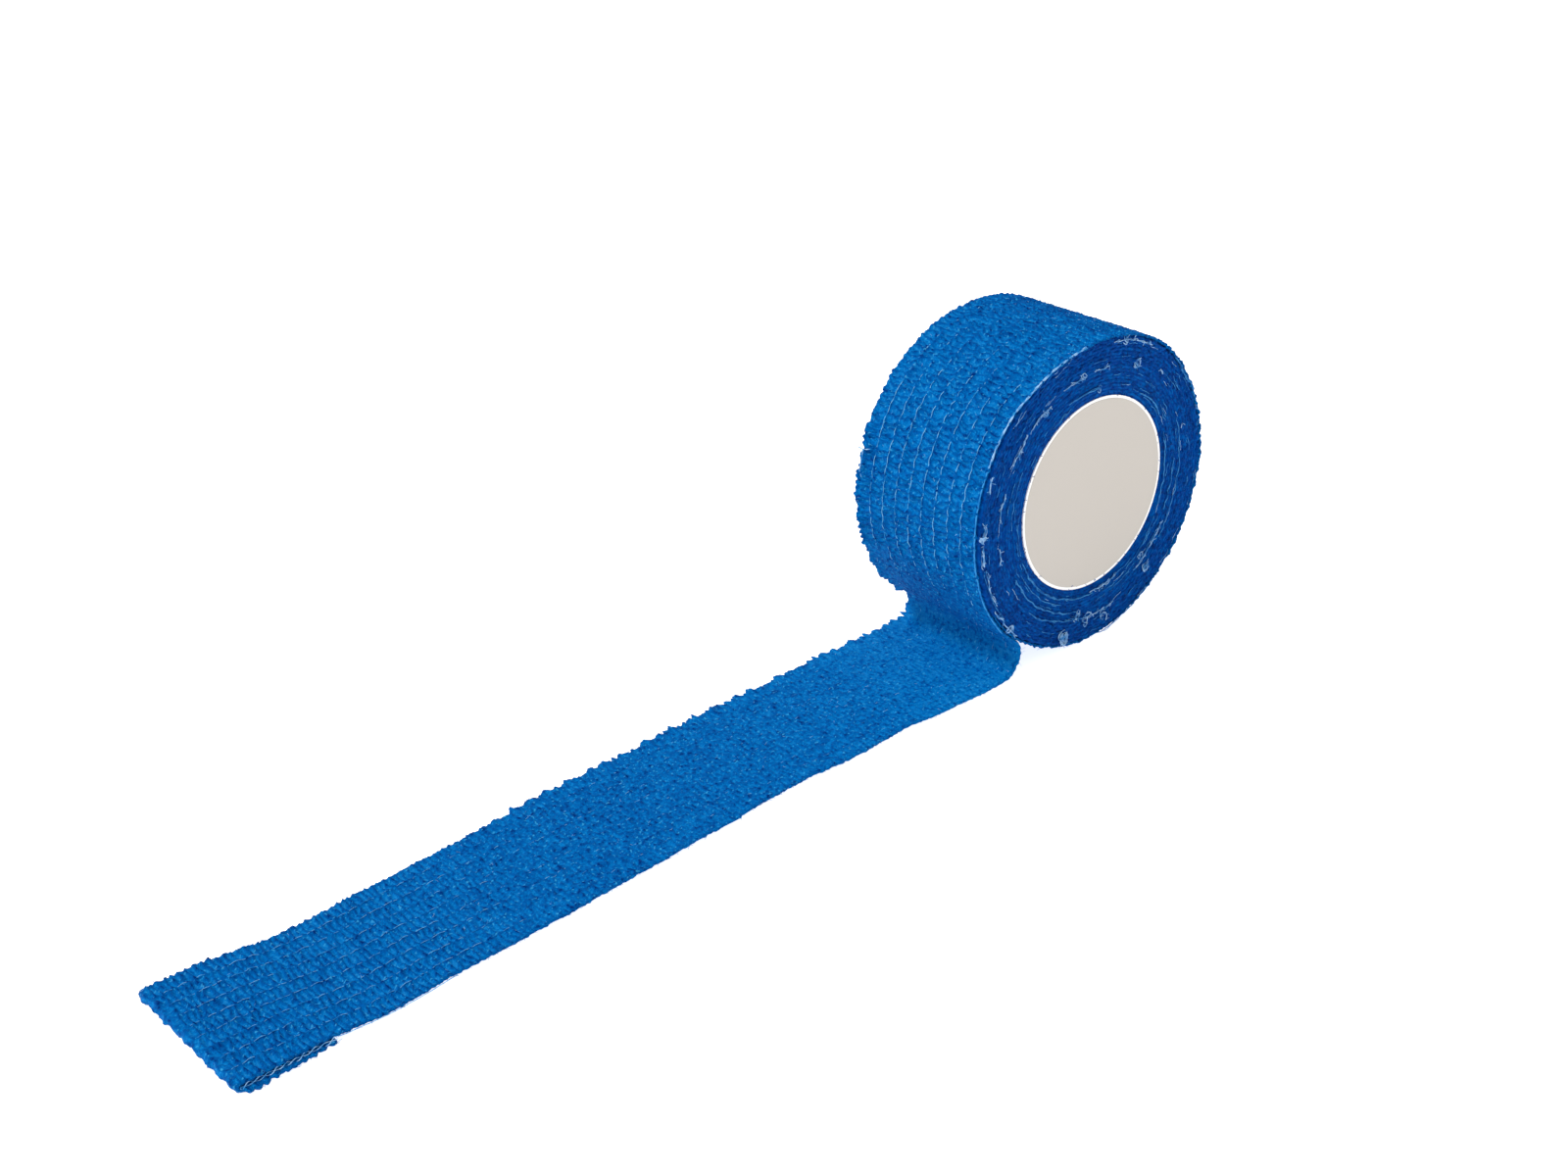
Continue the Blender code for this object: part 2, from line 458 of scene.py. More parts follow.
def unit(rows):
    return rows / size_of(rows)[:, None]


# %% The settled winding
LUMPS = (
    # angle, height in mm, spread in degrees
    (128, 0.10, 22),
    (62, 0.16, 20),
    (28, -0.18, 16),
    (-3, 0.22, 7),
    (-30, 0.16, 12),
    (-60, -0.20, 14),
    (-118, -0.18, 12),
)
FLAT_DEPTH = 0.17
FLAT_SPREAD = 8.0


def spiral_radius(angle):
    """The outer face of the winding, one lap further out for each turn that ends at LAP_EDGE."""
    return ROLL_RADIUS - LAP_PITCH * (LAP_EDGE - angle) / 360


def settled(radius, angle):
    """(x, z) in mm of a point of the winding, in whole arrays at a time."""
    share = np.clip((radius - CORE_RADIUS) / (ROLL_RADIUS - CORE_RADIUS), 0, 1)
    turn = (angle + 180) % 360 - 180
    lumps = sum(
        height * hump((turn - middle + 180) % 360 - 180, 0, spread)
        for middle, height, spread in LUMPS
    )
    grown = radius + lumps * share**2 - FLAT_DEPTH * hump(turn, -90, FLAT_SPREAD) * share**3
    x = CORE_X * (1 - share) + grown * np.cos(np.radians(angle))
    return x, ROLL_Z + grown * np.sin(np.radians(angle))


# %% [markdown]
# ## The inner turns
#
# What shows of them is their edges: seventeen thin lines one inside another, a little ragged. They
# are one strip in the real roll, so they are one strip here: a Spiral curve, swept with a thin
# rounded outline. The first turn beds into the tube's wall, so that no gap shows beside the white
# rim. The edges wander by noise, and a table says how far each part of the winding stands proud.

# %% Sizes of the inner turns
INNER_END = LAP_EDGE - 372  # degrees, a little over one lap before the outermost edge
OUTER_HALF = 0.23  # half the cloth's thickness on the roll
LAP_DEPTH = 0.32  # from the winding's outer face to the middle of a lap
INNER_TURNS = 17
SECOND_TURN = 0.29  # how far the second turn's middle lies outside the tube
END_RADIUS = spiral_radius(INNER_END) - LAP_DEPTH
TURN_PITCH = (END_RADIUS - CORE_RADIUS - SECOND_TURN) / (INNER_TURNS - 1)
START_RADIUS = CORE_RADIUS + SECOND_TURN - TURN_PITCH
PROUD_FROM, PROUD_TO = 0.51, 0.64
EDGE_STEPS = (
    # from, to, as shares of the way out, and how far the edges step out there in mm
    (PROUD_FROM, PROUD_TO, 0.22),
    (0.86, 0.97, 0.12),
    (0.09, 0.21, 0.18),
    (0.068, 0.056, -0.20),
)
print(f"{INNER_TURNS} turns, {TURN_PITCH:.2f} mm apart")

# %% The tree that winds the strip
put = new_tree("wind_strip", (
    "Turns", "Start radius", "End radius", "Width", "Thickness", "Ruffle", "Seed",
), counts=("Points a turn",))
spiral = geo("CurveSpiral", {
    "Resolution": put["Points a turn"],
    "Rotations": put["Turns"],
    "Start Radius": put["Start radius"],
    "End Radius": put["End radius"],
    "Height": 0.0,
    "Reverse": True,
})
spiral = keep_named(spiral, "along", geo("SplineParameter", out="Length"))
outline = geo("CurvePrimitiveQuadrilateral", {"Width": put["Thickness"], "Height": put["Width"]})
rounding = put["Thickness"] * 0.2
outline = geo("FilletCurve", {"Curve": outline, "Radius": rounding, "Count": 1}, mode="POLY")
strip = sweep(spiral, outline)
x, y, z = parts(geo("InputPosition"))
radius = (x * x + y * y) ** 0.5
inner = (radius - put["Start radius"]) / (put["End radius"] - put["Start radius"])
along = named("along")
side = maths("SIGN", z)
ripple = cloud(along * 1100.0, side * 9.0, put["Seed"])
lean = cloud(along * 700.0, side * 5.0, put["Seed"] + 40.0)
drift = cloud(along * 60.0, side * 3.0, put["Seed"] + 80.0, 2.0)
proud = inner.between(PROUD_FROM, PROUD_TO)
loose = inner.between(0.06, 0.19) * 0.85 + 0.15
outward = ((ripple - 0.5) * (proud + 1.0) + (drift - 0.5) * 1.4) * loose * put["Ruffle"]
for start, end, out in EDGE_STEPS:
    outward = outward + inner.between(start, end) * (out * MM)
sideways = (lean - 0.5) * put["Ruffle"] * (proud * 2.2 + 1.2) * loose
moved = vector(x / radius * sideways, y / radius * sideways, side * outward)
strip = geo("SetPosition", {"Geometry": strip, "Offset": moved})
rings = cloud(radius * 1500.0, put["Seed"] + 5.0, detail=2.0) - 0.5
crest = ripple * 0.8 + (drift - 0.5) * 0.9 + 0.19 - proud * 0.14 + rings * (1.6 - proud * 1.2)
winding_tree = end_tree(keep_named(strip, "crest", crest), put)

# %% Wind the inner turns
def read_points(mesh):
    """The mesh's points as an array, in mm."""
    points = np.empty(len(mesh.vertices) * 3, np.float32)
    mesh.vertices.foreach_get("co", points)
    return points.reshape(-1, 3).astype(float) / MM


def store(mesh, name, values):
    """Keeps numbers on the mesh's points, as one number each or three."""
    values = np.asarray(values, np.float32)
    kind = "FLOAT_VECTOR" if values.ndim == 2 else "FLOAT"
    made = mesh.attributes.get(name) or mesh.attributes.new(name, kind, "POINT")
    made.data.foreach_set("vector" if values.ndim == 2 else "value", values.ravel())


wound_turns = new_object("wound_turns", bpy.data.meshes.new("wound_turns"))
run_tree(wound_turns, winding_tree, {
    "Turns": float(INNER_TURNS),
    "Points a turn": 630,
    "Start radius": START_RADIUS * MM,
    "End radius": END_RADIUS * MM,
    "Width": CLOTH_WIDTH * MM,
    "Thickness": 0.63 * MM,
    "Ruffle": 0.30 * MM,
    "Seed": 3.0,
    "Material": finish["winding"],
})

# %% Lay the turns round the core
RIM_DEPTH = 0.6  # what lies this close to the edge of the cloth counts as its rim
turns_mesh = wound_turns.data
across_x, across_y, depth = read_points(turns_mesh).T
strip_radius = np.hypot(across_x, across_y)
strip_angle = np.degrees(np.arctan2(across_y, across_x)) + INNER_END
strip_x, strip_z = settled(strip_radius, strip_angle)
laid = np.stack([strip_x, -depth, strip_z], 1) * MM
turns_mesh.vertices.foreach_set("co", laid.astype(np.float32).ravel())
turns_mesh.update()
along_values = np.empty(len(laid), np.float32)
turns_mesh.attributes["along"].data.foreach_get("value", along_values)
on_rim = np.where(abs(depth) > CLOTH_WIDTH / 2 - RIM_DEPTH, 1.0, -1.0)
store(turns_mesh, "cloth", np.stack([along_values / MM, strip_radius * 1.6, on_rim], 1))

# %% [markdown]
# ## The route of the outermost cloth
#
# The outermost lap and the loose end are one strip. It goes once round the roll, leaves it low
# down on the side of the free end, turns back under itself in a tight bend, lies along the table,
# climbs onto its own folded-back flap, turns over at the free end and runs back as the flap.
# "route" lists points through the middle of its thickness, about a sixth of a millimetre apart.

# %% Tables of the loose end
STATION_STEP = 0.152
FREE_END_X = -151.2
FLAP_LENGTH = 12.6
FOLD_SLANT = 0.04  # the fold's far corner reaches this share of the width further out
FOLD_RADIUS = 0.39
# Along the table: half the thickness, and how high the crepe's ridges stand
END_BODY = (
    # distance from the roll's middle, half thickness, ridge height, all in mm
    (-153, 0.37, 0.66),
    (-146, 0.34, 0.62),
    (-137, 0.28, 0.56),
    (-126, 0.33, 0.54),
    (-112, 0.33, 0.44),
    (-92, 0.31, 0.36),
    (-70, 0.28, 0.33),
    (-45, 0.27, 0.29),
    (-24, 0.26, 0.19),
    (-15, 0.25, 0.14),
)
# How far the upper layer stands above its own place on the table, from the fold inwards
RISE = (
    # distance from the fold, height, both in mm
    (0, 0.78),
    (6, 0.72),
    (12.6, 0.57),
    (14.2, 0.28),
    (17.5, 0),
)
# The uneven edges of the cloth where it lies
EDGES = (
    # distance from the roll's middle, near edge, far edge, all in mm
    (-152, -12.9, 11.9),
    (-144, -12.9, 11.5),
    (-136, -12.8, 10.8),
    (-128, -13.1, 10.5),
    (-120, -12.7, 11.0),
    (-108, -12.8, 11.4),
    (-98, -12.5, 11.7),
    (-88, -12.3, 12.2),
    (-77, -12.0, 12.3),
    (-67, -11.3, 12.9),
    (-59, -11.2, 13.0),
    (-51, -11.9, 12.7),
    (-41, -11.6, 12.8),
    (-31, -12.5, 12.7),
    (-22, -13.0, 12.6),
    (-15, -12.2, 12.5),
)
# Round the roll: where the rims of the outermost lap stand, and how high its ridges are
LAP_RIMS = (
    # angle, near edge, far edge, ridge height, all but the angle in mm
    (-150, -12.3, 12.6, 0.42),
    (-90, -12.8, 12.7, 0.42),
    (-30, -13.0, 12.8, 0.46),
    (60, -13.0, 12.8, 0.51),
    (88, -13.3, 12.8, 0.53),
    (97, -13.6, 12.9, 0.53),
    (105, -13.4, 12.9, 0.53),
    (120, -13.0, 12.9, 0.53),
    (135, -12.5, 13.0, 0.55),
    (145, -12.4, 12.9, 0.57),
    (165, -12.45, 12.7, 0.57),
    (192, -12.45, 13.0, 0.52),
    (203, -12.45, 13.0, 0.38),
    (213, -12.4, 12.9, 0.28),
    (222, -12.3, 12.7, 0.25),
    (229, -12.2, 12.6, 0.20),
)


# %% Lay out the route
def arc(centre, radius, start, end):
    """Points of an arc, from the angle start to end in degrees, at the station step."""
    count = max(3, round(abs(radians(end - start)) * radius / STATION_STEP))
    angles = np.radians(np.linspace(start, end, count + 1))
    return np.stack([centre[0] + radius * np.cos(angles), centre[1] + radius * np.sin(angles)], 1)


def line(start, end):
    """Points along the table from one x to another, at the height of the cloth's middle."""
    places = np.linspace(start, end, max(2, round(abs(end - start) / STATION_STEP)) + 1)
    return np.stack([places, half_at(places)], 1)


def half_at(x):
    return smooth_table(x, END_BODY, 1)


lap_angles = np.arange(INNER_END, LAP_EDGE, np.degrees(STATION_STEP / ROLL_RADIUS))
lap_angles = np.append(lap_angles, LAP_EDGE)
lap = np.stack(settled(spiral_radius(lap_angles) - LAP_DEPTH, lap_angles), 1)
follow_angles = np.linspace(LAP_EDGE, PEEL_ANGLE, 20)
follow = np.stack(settled(ROLL_RADIUS - LAP_DEPTH, follow_angles), 1)
peel_x, peel_z = follow[-1]
peel_way = (cos(radians(PEEL_ANGLE)), sin(radians(PEEL_ANGLE)))
bend = (peel_z - half_at(-19.0)) / (1 - peel_way[1])
bend_centre = (peel_x + bend * peel_way[0], peel_z + bend * peel_way[1])
bend_points = arc(bend_centre, bend, PEEL_ANGLE - 180, -90)
fold_half = half_at(FREE_END_X)
fold_x = FREE_END_X + fold_half + FOLD_RADIUS
lying = line(bend_points[-1, 0], fold_x)
lying[:, 1] += np.interp(lying[:, 0] - fold_x, *np.array(RISE).T)
fold = arc((fold_x, fold_half + FOLD_RADIUS), FOLD_RADIUS, 90, 270)
flap = line(fold_x, fold_x + FLAP_LENGTH)
path = np.concatenate([lap, follow[1:], bend_points[1:], lying[1:], fold[1:], flap[1:]])

# %% Space the route evenly
run = distance_along(path)
edge_run = run[len(lap) - 1]
fold_run = run[len(run) - len(flap) - len(fold) // 2]
stations = np.append(np.arange(0, run[-1], STATION_STEP), run[-1])
edge_station = int(np.argmin(abs(stations - edge_run)))
stations[edge_station] = edge_run
fold_station = int(np.argmin(abs(stations - fold_run)))
last_station = len(stations) - 1
route = np.stack([np.interp(stations, run, path[:, 0]), np.interp(stations, run, path[:, 1])], 1)
heading = unit(np.gradient(route, stations, axis=0))
facing = np.stack([heading[:, 1], -heading[:, 0]], 1)  # the outer side is on the right of the way
table_x = route[:, 0]
lap_angle = np.interp(stations, run[:len(lap)], lap_angles)
on_table = fade(stations, edge_run + 2.0, 6.0)
on_lap = on_table == 0
on_flap = fade(stations, fold_run, 1.5)
print(f"outer lap {edge_run:.0f} mm, loose end {run[-1] - edge_run:.0f} mm, bend radius {bend:.2f}")

# %% [markdown]
# ## Ragged edges
#
# The rims scallop with the ridges. Along part of the far edge the cut went through the cloth
# between two threads, and it has frayed into short teeth. A seeded row of triangles makes them,
# and slower waves of noise bend the whole edge.

# %% Teeth and waves along an edge
def ragged(places, seed, spacing, height, lean=(0.25, 0.7)):
    """Triangular teeth along these places: height 0 between them, up to height at their tips."""
    draw = np.random.default_rng(seed)
    keys = [places.min() - 1]
    values = [0.0]
    while keys[-1] < places.max() + 1:
        gap = draw.uniform(*spacing)
        keys += [keys[-1] + gap * draw.uniform(*lean), keys[-1] + gap]
        values += [draw.uniform(*height), draw.uniform(0, height[0])]
    return np.interp(places, keys, values)


def wander(places, seed, spacing, height):
    """A smooth random line about zero."""
    draw = np.random.default_rng(seed)
    first = places.min() - spacing
    count = int((places.max() - places.min()) / spacing) + 4
    rows = [(first + i * spacing, draw.uniform(-height, height)) for i in range(count)]
    return smooth_table(places, rows, 1)


TEETH = {
    # seed, least and greatest spacing, least and greatest height, all in mm
    "torn": (14, (0.7, 3.2), (0.15, 1.35)),
    "torn, fine": (27, (0.4, 1.1), (0.0, 0.5)),
    "sound": (15, (0.8, 1.3), (0.08, 0.34)),
    "everywhere": (18, (0.5, 1.6), (0.0, 0.22)),
    "near": (16, (0.7, 1.5), (0.02, 0.26), (0.4, 0.6)),
    "flap": (17, (1.1, 1.5), (0.35, 0.8)),
    "far flare": (22, (0.85, 1.25), (0.15, 0.5)),
    "far flare, coarse": (25, (1.6, 4.4), (0.1, 0.85)),
    "near flare": (23, (0.8, 1.9), (0.02, 0.42)),
    "torn curl": (24, (1.2, 3.4), (0.0, 0.45)),
}
teeth = {name: ragged(stations, *row) for name, row in TEETH.items()}
NICK_ANGLE = 161  # degrees round the roll, of the nick in the far rim
NICK_DEPTH = 1.1
NICK_SPREAD = 1.3  # degrees
TORN_FROM = -104  # from here to the roll the far edge is torn
FLAP_OUTSET = 0.7  # the flap's near edge stands this far past the upper layer's at the fold
WAVE_HEIGHT = 0.25  # of the long waves of the cloth on the table

# %% Both edges, and the cloth's body
near_edge, far_edge = (
    (1 - on_table) * smooth_table(lap_angle, LAP_RIMS, column)
    + on_table * smooth_table(table_x, EDGES, column)
    for column in (1, 2)
)
near_edge += wander(stations, 11, 2.6, 0.06)
near_edge += on_flap * (0.45 * fade(stations, fold_run, FLAP_LENGTH) - FLAP_OUTSET)
far_edge += wander(stations, 13, 3.0, 0.07)
torn = fade(table_x, TORN_FROM, 6) * (on_table > 0)
far_teeth = (teeth["torn"] + teeth["torn, fine"]) * torn + teeth["sound"] * (1 - torn)
far_teeth += teeth["everywhere"] + wander(stations, 26, 3.0, 0.12)
far_teeth -= NICK_DEPTH * hump(lap_angle, NICK_ANGLE, NICK_SPREAD) * on_lap
near_teeth = (teeth["near"] + wander(stations, 12, 0.9, 0.09)) * (1 - on_flap)
near_teeth += teeth["flap"] * on_flap
# how far the rims stand off the roll, and the torn edge off the table
far_stand = teeth["far flare"] * np.maximum(fade(lap_angle, 130, 30), 0.2)
far_stand = (far_stand + teeth["far flare, coarse"] * fade(lap_angle, 146, 10)) * on_lap
far_stand += teeth["torn curl"] * torn
near_stand = teeth["near flare"] * np.maximum(fade(lap_angle, 70, -20), 0.25) * on_lap
half = half_at(table_x) * on_table + OUTER_HALF * (1 - on_table)
ridge = smooth_table(lap_angle, LAP_RIMS, 3) * (1 - on_table)
ridge += smooth_table(table_x, END_BODY, 2) * on_table
ridge *= 1 - 0.35 * hump(stations, fold_run, 1.2)
# the crepe is measured along the outer face, which is longer than the middle round a bend
outer_run = distance_along(route + facing * half[:, None])
wave_height = WAVE_HEIGHT * abs(wander(stations, 21, 14.0, 1.0))
wave_height *= fade(stations, edge_run + 16, 20) * fade(stations, fold_run - 16, -10)
print(f"edges run from {near_edge.min():.1f} to {far_edge.max():.1f} mm")

# %% [markdown]
# ## The strip as a mesh
#
# The cloth's own coordinates are the distance along it and the distance across it, so the mesh is
# a grid of those two, closed round its rims. Eight rows to a lane between two threads are enough
# for the ridges, and the hidden inner face has fewer.

# %% Build a stretch of the strip
LANES = 9
ROWS_A_LANE = 8
OUTER_ROWS = LANES * ROWS_A_LANE + 1
INNER_ROWS = 8
EDGE_LANE = 0.075  # the share of the width that a tooth pulls along
FOLD_BULGE = 0.30  # how far the lanes puff out over the fold


def section():
    """Share across, and side (1 outer, -1 inner), once round the strip's section."""
    outer = [(i / (OUTER_ROWS - 1), 1.0) for i in range(OUTER_ROWS)]
    outer[0], outer[-1] = (0.005, 0.8), (0.995, 0.8)
    inner = [(1 - i / (INNER_ROWS - 1), -1.0) for i in range(INNER_ROWS)]
    inner[0], inner[-1] = (0.995, -0.8), (0.005, -0.8)
    return np.array([*outer, (1.003, 0.0), *inner, (-0.003, 0.0)])


ACROSS, SIDE = section().T
AROUND = len(ACROSS)


def off_route(s, out):
    """(x, z) at these stations, this far out from the middle of the cloth's thickness."""
    return route[s, 0] + facing[s, 0] * out, route[s, 1] + facing[s, 1] * out


def strip_points(first, last):
    """Points (station, place in section, xyz) of a stretch of the strip, in mm."""
    s = np.arange(first, last + 1)[:, None]
    pull_far = np.clip((ACROSS - 1 + EDGE_LANE) / EDGE_LANE, 0, 1.05)
    pull_near = np.clip((EDGE_LANE - ACROSS) / EDGE_LANE, 0, 1.05)
    y = near_edge[s] + (far_edge - near_edge)[s] * ACROSS
    y = y + far_teeth[s] * pull_far - near_teeth[s] * pull_near
    bulge = FOLD_BULGE * hump(stations[s], fold_run, 1.0) * np.sin(ACROSS * LANES % 1 * pi)
    out = SIDE * half[s] + bulge + far_stand[s] * pull_far + near_stand[s] * pull_near
    x, z = off_route(s, out)
    # the free end slants, so that its far corner reaches further out
    x = x - FOLD_SLANT * CLOTH_WIDTH * ACROSS * (fade(table_x, -60, -90) * on_table)[s]
    # the cloth lies in long low waves
    wave = 0.5 + 0.5 * np.sin(ACROSS * 5.0 + stations[s] / 9.0)
    return np.stack([x, y, z + (wave_height * on_table)[s] * wave], 2)


def build_strip(name, first, last):
    """A closed mesh of the strip between two stations, with its cloth coordinates stored."""
    points = strip_points(first, last)
    index = np.arange(len(points) * AROUND).reshape(len(points), AROUND)
    after = np.roll(index, -1, axis=1)
    quads = np.stack([index[:-1], index[1:], after[1:], after[:-1]], 2).reshape(-1, 4)
    faces = quads.tolist() + [index[0].tolist(), index[-1][::-1].tolist()]
    mesh = bpy.data.meshes.new(name)
    mesh.from_pydata((points.reshape(-1, 3) * MM).tolist(), [], faces)
    mesh.update()
    way = outer_run[first:last + 1, None]
    where = np.stack(np.broadcast_arrays(way, ACROSS * CLOTH_WIDTH, SIDE), 2)
    store(mesh, "cloth", where.reshape(-1, 3))
    store(mesh, "ridge", np.repeat(ridge[first:last + 1], AROUND))
    print(f"{name}: {len(faces)} faces")
    return new_object(name, mesh)


outer_turn = build_strip("outer_turn", 0, edge_station)
loose_end = build_strip("loose_end_cloth", edge_station, last_station)

# %% [markdown]
# ## The crepe
#
# Between two threads the cloth gathers into short ridges, one a millimetre. Their tops are round,
# the creases between them are sharp, each ridge arches and leans in its own way, and all of them
# pinch down where a thread holds the cloth. That is a rule, so a Geometry Nodes tree makes it:
# the lane is the whole part of the place across, the ridge is the sine of the place along, noise
# drifts its phase, and the result pushes each point along its normal. Where the ridges are low the
# cloth has felted, and soft tufts take their place. The tree keeps the phase on each point, and
# the finish paints shade into the creases from the same numbers. It also keeps "crest", the level
# that the finish turns into painted shade and painted highlight; where the ridges are low, by the
# bend, that level is lifted and evened, painting light into the bend.

# %% The crepe tree
put = new_tree("crepe", (
    "Thread pitch", "Pucker length", "Lean", "Arch", "Drift", "Jitter", "Lumps", "Seed",
))
along, across, side = parts(named("cloth", "FLOAT_VECTOR"))
height = named("ridge")
lane_place = across / put["Thread pitch"]
lane = maths("FLOOR", lane_place)
middle = lane_place - lane - 0.5
lane_draw = step("ShaderNodeTexWhiteNoise", {"W": lane + put["Seed"]}, noise_dimensions="1D")
lane_seed = lane * 7.3 + put["Seed"]
slow = cloud(along * 0.15, lane_seed) - 0.5
quick = cloud(along * 0.9, across * 0.8, lane_seed, 0.0) - 0.5
tilt = cloud(along * 0.40, lane_seed + 57.0, detail=0.0) - 0.5
arch = cloud(along * 0.25, lane_seed + 91.0, detail=0.0) - 0.25
phase = along / put["Pucker length"] + lane_draw + slow * put["Drift"] + quick * put["Jitter"]
phase = phase + middle * tilt * put["Lean"] + middle * middle * arch * put["Arch"]
fold_height = maths("SINE", phase * pi)
fold_height = (fold_height * fold_height + 0.03) ** 0.5
wobble = cloud(along * 1.7, across * 1.3, put["Seed"])
pinch = (abs(middle) * 2.0).between(1.0, 0.55)
size = cloud(along * 0.5, across * 0.45, put["Seed"] + 9.0).between(0.25, 0.72) * 0.7 + 0.55
relief = (fold_height - 0.6) * size * (pinch * 0.65 + 0.35) + pinch * 0.32 - 0.18
relief = relief + (wobble - 0.5) * put["Lumps"]
felted = height.between(0.52, 0.35)
tufts = cloud(along * 1.5, across * 1.25, put["Seed"] + 30.0, 2.0) - 0.5
relief = relief + (tufts * 3.8 - relief) * (felted * 0.65)
rim = abs(side).between(0.9, 0.1)
inner_side = side.between(0.0, -0.5)
push = relief * height * (1.0 - inner_side * 1.5) * (1.0 - rim * 0.5)
offset = vector_maths("SCALE", geo("InputNormal"), push * MM)
# Where the ridges are low, by the bend, the painted shade is weakened and the level lifted: painted
# light in the bend
flat = height.between(0.37, 0.14)
crest = relief * (0.85 - flat * 0.4) + flat * 0.42 + 0.5
geometry = put["Geometry"]
for name, value in (("crest", crest), ("phase", phase), ("felted", felted)):
    geometry = keep_named(geometry, name, value)
geometry = geo("SetPosition", {"Geometry": geometry, "Offset": offset})
crepe_tree = end_tree(above_table(geometry, TABLE_GAP * MM), put)

# %% Pucker both stretches of the strip
CREPE = {
    "Thread pitch": CLOTH_WIDTH / LANES,
    "Pucker length": 1.06,
    "Lean": 2.4,
    "Arch": 4.0,
    "Drift": 3.0,
    "Jitter": 1.3,
    "Lumps": 1.2,
    "Seed": 4.0,
    "Material": finish["crepe"],
}
SLACK = {"Pucker length": 0.92, "Lean": 1.6, "Arch": 2.0, "Jitter": 0.8, "Lumps": 0.9}
run_tree(outer_turn, crepe_tree, CREPE)
run_tree(loose_end, crepe_tree, {**CREPE, **SLACK})

# %% [markdown]
# ## The threads
#
# A thread is a path with a thin round section swept along it. The paths are made first, as plain
# edges, and one tree turns any of them into yarn: it spaces the points evenly, lets them wander a
# little, and sweeps a small circle.

# %% The yarn tree
put = new_tree("yarn", (
    "Radius", "Spacing", "Wander", "Wander length", "Seed",
), counts=("Sides",))
paths = geo("MeshToCurve", {"Mesh": put["Geometry"]})
paths = geo("ResampleCurve", {"Curve": paths, "Length": put["Spacing"]}, mode="LENGTH")
place = vector_maths("DIVIDE", geo("InputPosition"), vector(*[put["Wander length"]] * 3))
place = vector_maths("ADD", place, vector(*[put["Seed"]] * 3))
drawn = step("ShaderNodeTexNoise", {"Vector": place, "Scale": 1.0, "Detail": 1.0}, out="Color")
drawn = vector_maths("SUBTRACT", drawn, (0.5, 0.5, 0.5))
offset = vector_maths("SCALE", drawn, put["Wander"])
paths = geo("SetPosition", {"Geometry": paths, "Offset": offset})
paths = above_table(paths, put["Radius"] * 1.2)
ring = geo("CurvePrimitiveCircle", {"Resolution": put["Sides"], "Radius": put["Radius"]})
yarn_tree = end_tree(sweep(paths, ring), put)


def yarn(name, lines, radius, spacing, wander_by, wander_length, seed, kind, sides):
    """One piece of yarn from these lines of (x, y, z) points in mm."""
    edges = []
    start = 0
    for row in lines:
        edges += [(i, i + 1) for i in range(start, start + len(row) - 1)]
        start += len(row)
    mesh = bpy.data.meshes.new(name)
    mesh.from_pydata((np.concatenate(lines) * MM).tolist(), edges, [])
    return run_tree(new_object(name, mesh), yarn_tree, {
        "Radius": radius * MM,
        "Spacing": spacing * MM,
        "Sides": sides,
        "Wander": wander_by * MM,
        "Wander length": wander_length * MM,
        "Seed": float(seed),
        "Material": finish[kind],
    })


# %% [markdown]
# ## The elastic threads
#
# Eight of them show between the lanes. Each is taut, so it cuts straight across the dips that the
# crepe makes, and the ridges cover it here and there. It sinks into the cloth where that is smooth,
# over the top of the roll and low down near the peel. The ninth thread runs along the near rim.

# %% Lay the elastic threads
TAUT_REACH = 1.9  # mm of cloth that a thread spans without following its dips
BEAT_PITCH = 2.2  # mm between two rises of a thread
BEAT_HEIGHT = 0.10


def taut(values, reach):
    """A moving average down the stations."""
    kernel = np.hanning(reach + 2)[1:-1]
    kernel /= kernel.sum()
    padded = np.pad(values, ((reach // 2, reach // 2), (0, 0)), mode="edge")
    return np.stack([np.convolve(padded[:, i], kernel, "valid") for i in range(3)], 1)


def thread_lines(strip, first, last, lift, seed):
    """The lines of the eight inner threads along a stretch of the strip."""
    points = read_points(strip.data).reshape(last - first + 1, AROUND, 3)
    way = stations[first:last + 1]
    out = np.stack([facing[first:last + 1, 0], 0 * way, facing[first:last + 1, 1]], 1)
    reach = int(TAUT_REACH / STATION_STEP) | 1
    lines = []
    for lane in range(1, LANES):
        row = taut(points[:, lane * ROWS_A_LANE], reach)
        drift = lane * 2.4 + wander(way, seed + 40 + lane, 6.0, 1.5)
        beat = np.sin(2 * pi * way / BEAT_PITCH + drift)
        rise = lift + BEAT_HEIGHT * beat + wander(way, seed + lane, 1.05, 0.12)
        lines.append(row + out * rise[:, None])
    return lines


lap_way = lap_angle[:edge_station + 1]
clear = 0.05 - 0.25 * hump(lap_way, 92, 34, 4) - 0.17 * fade(lap_way, 190, 16)
roll_lines = thread_lines(outer_turn, 0, edge_station, clear, 30)
roll_elastic = yarn(
    "roll_elastic", roll_lines, radius=0.055, spacing=0.3, wander_by=0.02, wander_length=1.3,
    seed=5, kind="lit_thread", sides=4,
)
sunk = -0.14 * fade(table_x[edge_station:], -118, 12)
end_lines = thread_lines(loose_end, edge_station, last_station, sunk, 60)
end_lines = [row[:fold_station - edge_station] for row in end_lines]
end_elastic = yarn(
    "end_elastic", end_lines, radius=0.04, spacing=0.4, wander_by=0.05, wander_length=1.3,
    seed=6, kind="elastic_thread", sides=4,
)

# %% [markdown]
# ## The edge threads
#
# On the near rim a pale thread shows bare: along the upper left of the outermost lap, and along
# the folded end, where it is two strands twisted round each other. Lower down the roll the rim's
# thread is dyed. At the nick in the far rim a snagged thread stands up.

